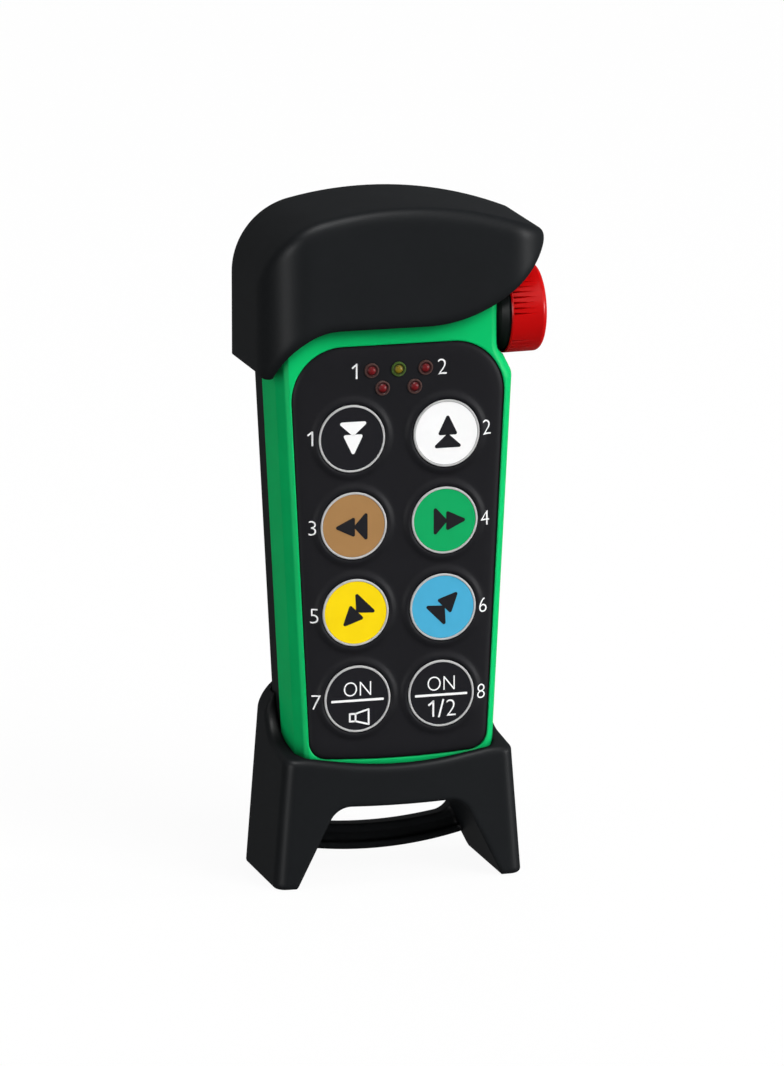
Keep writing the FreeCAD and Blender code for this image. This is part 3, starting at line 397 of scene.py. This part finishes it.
# Colours
GREEN = linear(10, 196, 108)
RUBBER = linear(21, 23, 25)
BLACK = linear(20, 23, 24)
KEYPAD = linear(27, 27, 30)
INK_BLACK = linear(27, 27, 31)
INK_WHITE = linear(255, 255, 255)
RED = linear(192, 5, 6)
STEEL = linear(190, 190, 194)
TIN = linear(205, 205, 200)
COLLAR = linear(25, 28, 28)
GASKET = linear(22, 22, 23)
RING = linear(192, 192, 192)
# Painted shade that stands for the screws' cross recesses
RECESS_SHADE = linear(26, 26, 27)
BOARD = linear(24, 96, 52)
RESIN = linear(225, 222, 208)
BATTERY = linear(38, 40, 44)

LABEL_COLOURS = {
    1: INK_BLACK,
    2: INK_WHITE,
    3: linear(168, 127, 80),
    4: linear(15, 169, 97),
    5: linear(255, 220, 14),
    6: linear(76, 176, 216),
    7: INK_BLACK,
    8: INK_BLACK,
}

# Dome, groove and ring of an indicator lens; the groove's dark tint is painted shade
YELLOW_TINTS = (linear(122, 104, 18), linear(50, 62, 22), linear(70, 96, 42))
RED_TINTS = (linear(106, 14, 20), linear(54, 26, 26), linear(82, 60, 56))

# Gloss of the mouldings
SOFT_BLACK = {"Specular_IOR_Level": 0.0, "Coat_Weight": 0.065, "Coat_Roughness": 0.46}
MATT_BLACK = {"Specular_IOR_Level": 0.0, "Coat_Weight": 0.045, "Coat_Roughness": 0.46}
SATIN = {"Specular_IOR_Level": 0.0, "Coat_Weight": 0.04, "Coat_Roughness": 0.35}
GLOSSY = {"Specular_IOR_Level": 0.0, "Coat_Weight": 0.08, "Coat_Roughness": 0.3}
RUBBER_SKIN = dict(SOFT_BLACK, roughness=0.55, grain=0.35 * MM, depth=0.012 * MM, mottle=0.06)

# Materials
cap_rubber = moulded("cap_rubber", RUBBER, edge=CAP_EDGE, **RUBBER_SKIN)
boot_rubber = moulded("boot_rubber", RUBBER, edge=BOOT_EDGE, **RUBBER_SKIN)
rear_black = moulded("rear_shell_plastic", BLACK, roughness=0.5, **SOFT_BLACK)
# The green shell gets painted shade where another surface stands close to it
green_shell = moulded("green_shell_plastic", GREEN, roughness=0.42, depth=0.004 * MM, mottle=0.03,
                      edge=SHELL_EDGE, reach=CONTACT_REACH, **SATIN)
silicone = moulded("keypad_silicone", KEYPAD, roughness=0.58, depth=0.008 * MM, edge=KEYPAD_EDGE,
                   **MATT_BLACK)
black_part = moulded("black_moulding", BLACK, roughness=0.45, depth=0.006 * MM, **SOFT_BLACK)
collar_black = moulded("collar_moulding", COLLAR, roughness=0.45, depth=0.006 * MM, **MATT_BLACK)
gasket = moulded("gasket_rubber", GASKET, roughness=0.6, grain=0.4 * MM)
ring_grey = printed("label_ring_grey", RING, roughness=0.4)
white_ink = printed("white_ink", INK_WHITE, roughness=0.5)
black_ink = printed("black_ink", INK_BLACK, roughness=0.5)
# Painted shade for the screws' cross recesses
painted_recess_shade = printed("screw_recess_shade", RECESS_SHADE, roughness=0.6)
steel = metal("zinc_plated_steel", STEEL, roughness=0.32)
tin = metal("tinned_sheet", TIN, roughness=0.28, stretch=(1, 8, 1))
board_mask = moulded("solder_mask", BOARD, roughness=0.35, grain=0.8 * MM, depth=0.006 * MM, mottle=0.12)
resin = moulded("clear_resin", RESIN, roughness=0.2, grain=0.6 * MM, depth=0.003 * MM, mottle=0.03)
battery_case = moulded("battery_case", BATTERY, roughness=0.5, grain=0.4 * MM, depth=0.008 * MM)


def give(node, material):
    """Puts a material on a carried-over node."""
    slots = nodes_by_name[node].data.materials
    slots.clear()
    slots.append(material)


def middle(node):
    """Middle of a node's box."""
    low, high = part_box(node)
    return (low + high) / 2


def dress_nodes():
    """Gives every carried-over node its material."""
    finishes = {
        cap_rubber: ["top_bumper"],
        boot_rubber: ["bottom_bumper"],
        rear_black: ["rear_shell", "battery_cover"],
        green_shell: ["front_shell"],
        silicone: ["keypad_panel"] + ["button_cap_%d" % n for n in BUTTONS],
        collar_black: ["estop_collar"],
        black_part: ["estop_nut", "estop_stem", "estop_contact_block", "key_switches"],
        gasket: ["shell_seal", "battery_seal", "estop_seal"],
        steel: ["shell_screws", "board_screws", "battery_cover_screws", "estop_spring"],
        tin: ["radio_module", "battery_contacts"],
        board_mask: ["main_board", "antenna"],
        resin: ["led_emitters"],
        battery_case: ["battery_pack"],
        ring_grey: ["button_ring_%d" % n for n in BUTTONS],
    }
    for material, names in finishes.items():
        for name in names:
            give(name, material)
    low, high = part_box("estop_head")
    radius = (high.z - low.z) / 2
    grip_end = high.x - GRIP_MARGIN
    centre = middle("estop_head")
    give("estop_head", gripped("estop_red_plastic", RED, centre, radius, grip_end, **GLOSSY))
    for n, colour in LABEL_COLOURS.items():
        give("button_label_%d" % n, printed("label_film_%d" % n, colour))
    for n in LENSES:
        node = "led_lens_%d" % n
        tints = YELLOW_TINTS if n == YELLOW_LENS else RED_TINTS
        give(node, lens("lens_%d" % n, middle(node), *tints))


# Printed signs
class Ink:
    """A print on one node: its material, its slot (not used), the node, the body that it rides on and its
    side.
    """

    def __init__(self, material, slot, node, body, side=FRONT):
        self.material = material
        self.slot = slot
        self.carrier = nodes_by_name[node]
        self.body = body
        self.side = side

    def lay(self, name, mesh):
        """Moves a flat print, drawn with its face at y = 0, onto the carrier and shows it."""
        inward = Vector((0, -self.side, 0))
        for vertex in mesh.vertices:
            start = Vector((vertex.co.x, self.side * PRINT_START, vertex.co.z))
            place = self.carrier.ray_cast(start, inward)[1]
            vertex.co.y = place.y + self.side * (PRINT_THICKNESS - vertex.co.y)
        if self.side == REAR:
            mesh.flip_normals()
        mesh.materials.clear()
        mesh.materials.append(self.material)
        piece = bpy.data.objects.new(name, mesh)
        bpy.context.scene.collection.objects.link(piece)
        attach(piece, self.body)


def plates(name, loops, ink, step=None):
    """Flat plates: each loop is a closed list of (x, z) points."""
    mesh = bpy.data.meshes.new(name)
    shape = bmesh.new()
    for points in loops:
        front = [shape.verts.new((x, 0.0, z)) for x, z in points]
        back = [shape.verts.new((x, PRINT_THICKNESS + PRINT_SINK, z)) for x, z in points]
        shape.faces.new(front)
        shape.faces.new(list(reversed(back)))
        for i in range(len(points)):
            j = (i + 1) % len(points)
            shape.faces.new((front[j], front[i], back[i], back[j]))
    bmesh.ops.recalc_face_normals(shape, faces=shape.faces)
    shape.to_mesh(mesh)
    shape.free()
    if step:
        gridded(mesh, step)
    ink.lay(name, mesh)


def gridded(mesh, step):
    """Cuts a mesh along a grid in X and Z, so that it can follow a curved face."""
    shape = bmesh.new()
    shape.from_mesh(mesh)
    for axis in (Vector((1, 0, 0)), Vector((0, 0, 1))):
        reach = [v.co.dot(axis) for v in shape.verts]
        count = int((max(reach) - min(reach)) / step)
        for i in range(1, count + 1):
            everything = shape.verts[:] + shape.edges[:] + shape.faces[:]
            place = axis * (min(reach) + i * step)
            bmesh.ops.bisect_plane(shape, geom=everything, plane_co=place, plane_no=axis)
    shape.to_mesh(mesh)
    shape.free()


def rounded_loop(corners, radius, steps=CORNER_STEPS):
    """Corners of a polygon, each turned into an arc."""
    points = []
    count = len(corners)
    for i in range(count):
        here = Vector(corners[i])
        before = (Vector(corners[i - 1]) - here).normalized()
        after = (Vector(corners[(i + 1) % count]) - here).normalized()
        half = before.angle(after) / 2
        reach = radius / math.tan(half)
        centre = here + (before + after).normalized() * (radius / math.sin(half))
        start = here + before * reach - centre
        turn = (here + after * reach - centre).angle_signed(start)
        for step in range(steps + 1):
            spin = Matrix.Rotation(turn * step / steps, 2)
            point = centre + spin @ start
            points.append((point.x, point.y))
    return points


def turned(points, degrees, centre):
    """Points of a sign, turned about its own middle and moved to centre."""
    spin = Matrix.Rotation(math.radians(degrees), 2)
    moved = [spin @ Vector(p) for p in points]
    return [(p.x + centre.x, p.y + centre.z) for p in moved]


def bar(start, end, width):
    """A straight stroke with round ends, as a loop."""
    start, end = Vector(start), Vector(end)
    along = (end - start).normalized() * (width / 2)
    side = Vector((-along.y, along.x))
    corners = [start - along - side, end + along - side, end + along + side, start - along + side]
    return rounded_loop([tuple(c) for c in corners], width * STROKE_ROUNDING_SHARE, STROKE_STEPS)


def arrow_loops(degrees, centre):
    """Double arrow along +X: a slim head in front and a wide flat one behind it."""
    total = ARROW_WIDE_LENGTH + ARROW_SLIM_LENGTH
    back = -total / 2
    joint = back + ARROW_WIDE_LENGTH
    wide = [(back, -ARROW_WIDE / 2), (joint + ARROW_OVERLAP, 0.0), (back, ARROW_WIDE / 2)]
    slim = [(joint, -ARROW_SLIM / 2), (joint + ARROW_SLIM_LENGTH, 0.0), (joint, ARROW_SLIM / 2)]
    heads = [rounded_loop(head, ARROW_ROUNDING) for head in (wide, slim)]
    return [turned(head, degrees, centre) for head in heads]


def writing(name, words, height, width_share, centre, ink, step=None):
    """Raised lettering that faces the front, centred on a point of the face."""
    curve = bpy.data.curves.new(name, "FONT")
    curve.body = words
    curve.extrude = (PRINT_THICKNESS + PRINT_SINK) / 2
    curve.resolution_u = LETTER_STEPS
    curve.offset = -STROKE_TRIM
    source = bpy.data.objects.new(name + "_source", curve)
    bpy.context.scene.collection.objects.link(source)
    bpy.context.view_layer.update()
    mesh = bpy.data.meshes.new_from_object(source.evaluated_get(bpy.context.evaluated_depsgraph_get()))
    bpy.data.objects.remove(source)
    across = [v.co.x for v in mesh.vertices]
    upward = [v.co.y for v in mesh.vertices]
    scale = height / (max(upward) - min(upward))
    mid_x = (max(across) + min(across)) / 2
    mid_y = (max(upward) + min(upward)) / 2
    mesh.transform(Matrix.Translation((-mid_x, -mid_y, 0)))
    mesh.transform(Matrix.Diagonal((scale * width_share, scale, 1.0, 1.0)))
    mesh.transform(Matrix.Rotation(math.radians(90), 4, "X"))
    mesh.transform(Matrix.Translation((centre.x, curve.extrude, centre.z)))
    if step:
        gridded(mesh, step)
    ink.lay(name, mesh)


def one_loops(height, centre):
    """The digit 1: an upright stroke with a short flag, both as wide as the digits' own strokes."""
    stroke = height * DIGIT_STROKE_SHARE
    reach = height * DIGIT_FLAG_SHARE
    foot = (reach / 2, stroke / 2 - height / 2)
    head = (reach / 2, height / 2 - stroke / 2)
    flag = (-reach / 2, head[1] - reach * DIGIT_FLAG_SLOPE)
    return [turned(bar(*ends, stroke), 0, centre) for ends in ((foot, head), (flag, head))]


def digit(name, value, height, centre, ink):
    if value == 1:
        plates(name, one_loops(height, centre), ink, PRINT_GRID)
    else:
        writing(name, str(value), height, DIGIT_WIDTH_SHARE, centre, ink, PRINT_GRID)


def horn_loops(centre):
    """Outline of a plain signal horn: a small body and a flared bell."""
    path = [(x * MM, z * MM) for x, z in HORN_CORNERS]
    strokes = [bar(path[i - 1], path[i], HORN_STROKE) for i in range(len(path))]
    strokes.append(bar(*[path[i] for i in HORN_THROAT], HORN_STROKE))
    return [turned(stroke, 0, centre) for stroke in strokes]


def button_ink(n):
    white = n in WHITE_ON_BLACK
    material = white_ink if white else black_ink
    slot = "label_white" if white else "label_black"
    return Ink(material, slot, "button_label_%d" % n, "button_%d" % n)


def print_button(n):
    """The sign on a button: a double arrow, or a word over a line."""
    centre = middle("button_label_%d" % n)
    ink = button_ink(n)
    if n in ARROWS:
        degrees, right, up = ARROWS[n]
        plates("arrow_%d" % n, arrow_loops(degrees, centre + Vector((right, 0, up)) * MM), ink)
        return
    writing("word_%d" % n, WORD, WORD_HEIGHT, WORD_WIDTH_SHARE, centre + Vector((0, 0, WORD_RISE)), ink)
    half = RULE_LENGTH / 2
    rule = bar((-half, 0), (half, 0), RULE_HEIGHT)
    plates("rule_%d" % n, [turned(rule, 0, centre - Vector((0, 0, RULE_DROP)))], ink)


def print_signs():
    """The signs on the buttons and the white digits on the keypad's skin."""
    skin = Ink(white_ink, "label_white", "keypad_panel", "housing")
    for n in BUTTONS:
        print_button(n)
        side = -1 if n % 2 else 1
        place = middle("button_label_%d" % n) + Vector((side * DIGIT_OFFSET, 0, DIGIT_RISES[n] * MM))
        digit("digit_%d" % n, n, DIGIT_HEIGHT, place, skin)
    horn = middle("button_label_%d" % HORN_BUTTON) + Vector((HORN_SHIFT, 0, -HORN_DROP))
    plates("horn_%d" % HORN_BUTTON, horn_loops(horn), button_ink(HORN_BUTTON))
    print_fraction()
    for channel, (node, side) in CHANNELS.items():
        place = middle(node) + Vector((side * LED_DIGIT_OFFSET, 0, 0))
        digit("channel_%d" % channel, channel, LED_DIGIT_HEIGHT, place, skin)


def print_fraction():
    """A half, with a leaning stroke between its digits."""
    ink = button_ink(FRACTION_BUTTON)
    half = middle("button_label_%d" % FRACTION_BUTTON) - Vector((0, 0, FRACTION_DROP))
    aside = Vector((FRACTION_SPREAD, 0, 0))
    digit("fraction_1", 1, FRACTION_HEIGHT, half - aside, ink)
    digit("fraction_2", 2, FRACTION_HEIGHT, half + aside, ink)
    lean = Vector((FRACTION_LEAN, FRACTION_HEIGHT / 2))
    slash = bar(-lean, lean, FRACTION_HEIGHT * DIGIT_STROKE_SHARE)
    plates("fraction_slash", [turned(slash, 0, half)], ink)


def islands(node):
    """Corner boxes of a node's separate solids."""
    shape = bmesh.new()
    shape.from_mesh(nodes_by_name[node].data)
    bmesh.ops.remove_doubles(shape, verts=shape.verts, dist=WELD)
    waiting = set(shape.verts)
    boxes = []
    while waiting:
        group = {waiting.pop()}
        edge_of_group = set(group)
        while edge_of_group:
            reached = {e.other_vert(v) for v in edge_of_group for e in v.link_edges}
            edge_of_group = reached - group
            group |= edge_of_group
        waiting -= group
        places = [v.co for v in group]
        low = Vector([min(p[i] for p in places) for i in range(3)])
        high = Vector([max(p[i] for p in places) for i in range(3)])
        boxes.append((low, high))
    shape.free()
    return sorted(boxes, key=lambda box: tuple(box[0]))


def mark_screws(node):
    """A thin dark cross on the rear of each screw's head: painted shade in place of its recess."""
    ink = Ink(painted_recess_shade, "black_part", node, "housing", REAR)
    for number, (low, high) in enumerate(islands(node), 1):
        centre = (low + high) / 2
        head = high.x - low.x
        arm = head * CROSS_LENGTH_SHARE / 2
        width = head * CROSS_WIDTH_SHARE
        strokes = [bar((-arm, 0), (arm, 0), width), bar((0, -arm), (0, arm), width)]
        cross = [turned(stroke, CROSS_TURN, centre) for stroke in strokes]
        plates("%s_cross_%d" % (node, number), cross, ink)


def shorten_spring():
    """The emergency stop's spring, copied to ride on the housing in place of the hidden original."""
    coil = bpy.data.objects.new("estop_spring_coil", nodes_by_name["estop_spring"].data.copy())
    bpy.context.scene.collection.objects.link(coil)
    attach(coil, "housing")
    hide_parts("estop_spring")
    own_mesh(coil)


# Studio
def seen_directly(nodes, links):
    """1 for rays that show the backdrop itself, in the picture, in gloss or through glass."""
    path = nodes.new("ShaderNodeLightPath")
    total = path.outputs["Is Camera Ray"]
    for name in ("Is Glossy Ray", "Is Transmission Ray"):
        either = nodes.new("ShaderNodeMath")
        either.operation = "MAXIMUM"
        links.new(total, either.inputs[0])
        links.new(path.outputs[name], either.inputs[1])
        total = either.outputs["Value"]
    return total


def full_where_seen(nodes, links, seen, unseen_level):
    """1 for rays that show the backdrop, and the lower level for all others."""
    level = nodes.new("ShaderNodeMapRange")
    level.inputs["To Min"].default_value = unseen_level
    level.inputs["To Max"].default_value = 1.0
    links.new(seen, level.inputs["Value"])
    return level.outputs["Result"]


def add_world():
    world = bpy.data.worlds.new("studio")
    bpy.context.scene.world = world
    world.use_nodes = True
    nodes, links = world.node_tree.nodes, world.node_tree.links
    strength = full_where_seen(nodes, links, seen_directly(nodes, links), AMBIENT)
    background = nodes["Background"]
    background.inputs["Color"].default_value = (1, 1, 1, 1)
    links.new(strength, background.inputs["Strength"])


def add_floor():
    """A pale floor, nearly plain white where it is seen, so that the shadow on it is faint."""
    bpy.ops.mesh.primitive_plane_add(size=2 * FLOOR_HALF, location=(0, 0, 0))
    floor = bpy.context.object
    floor.name = "floor"
    material = bpy.data.materials.new("pale_floor")
    material.use_nodes = True
    nodes, links = material.node_tree.nodes, material.node_tree.links
    shader = nodes["Principled BSDF"]
    seen = seen_directly(nodes, links)
    links.new(full_where_seen(nodes, links, seen, FLOOR_BOUNCE), shader.inputs["Base Color"])
    shader.inputs["Roughness"].default_value = 0.9
    shader.inputs["Specular IOR Level"].default_value = 0.0
    glow = nodes.new("ShaderNodeEmission")
    mix = nodes.new("ShaderNodeMixShader")
    share = nodes.new("ShaderNodeMath")
    share.operation = "MULTIPLY"
    share.inputs[1].default_value = FLOOR_GLOW
    links.new(seen, share.inputs[0])
    links.new(share.outputs["Value"], mix.inputs["Fac"])
    links.new(shader.outputs["BSDF"], mix.inputs[1])
    links.new(glow.outputs["Emission"], mix.inputs[2])
    links.new(mix.outputs["Shader"], nodes["Material Output"].inputs["Surface"])
    floor.data.materials.append(material)


def direction(from_left, from_above):
    """Unit vector from the part to a place that many degrees left of its front and above it."""
    left, above = math.radians(from_left), math.radians(from_above)
    return Vector((-math.sin(left) * math.cos(above), -math.cos(left) * math.cos(above), math.sin(above)))


def add_lamp(name, kind, away):
    """A lamp that shines along -away; its settings are left to the caller."""
    light = bpy.data.lights.new(name, kind)
    lamp = bpy.data.objects.new(name, light)
    bpy.context.scene.collection.objects.link(lamp)
    lamp.rotation_euler = away.to_track_quat("Z", "Y").to_euler()
    return lamp


def softbox(name, from_left, from_above, width, height, watts):
    away = direction(from_left, from_above)
    lamp = add_lamp(name, "AREA", away)
    lamp.location = VIEW_TARGET + away * SOFTBOX_DISTANCE
    lamp.data.shape = "RECTANGLE"
    lamp.data.size = width
    lamp.data.size_y = height
    lamp.data.energy = watts


def far_lamp(name, from_left, from_above, width, strength):
    lamp = add_lamp(name, "SUN", direction(from_left, from_above))
    lamp.data.angle = math.radians(width)
    lamp.data.energy = strength
    return lamp


def add_lights():
    """Two plain lamps, two soft boxes, and the glints, which show in gloss alone along rounded edges."""
    far_lamp("key", *KEY)
    far_lamp("rear_fill", *REAR_FILL).visible_glossy = False
    for name, settings in SOFTBOXES.items():
        softbox(name, *settings)
    for name, settings in GLINTS.items():
        far_lamp(name, *settings).visible_diffuse = False


def add_camera():
    data = bpy.data.cameras.new("camera")
    data.sensor_width = SENSOR
    data.lens = FOCAL_PIXELS * SENSOR / PICTURE_HEIGHT
    data.clip_end = VIEW_REACH
    camera = bpy.data.objects.new("camera", data)
    bpy.context.scene.collection.objects.link(camera)
    away = direction(VIEW_FROM_LEFT, VIEW_FROM_ABOVE)
    camera.location = VIEW_TARGET + away * VIEW_DISTANCE
    camera.rotation_euler = away.to_track_quat("Z", "Y").to_euler()
    bpy.context.scene.camera = camera


dress_nodes()
print_signs()
mark_screws("shell_screws")
mark_screws("battery_cover_screws")
shorten_spring()
add_world()
add_floor()
add_lights()
add_camera()
bpy.context.scene.view_settings.view_transform = "Standard"
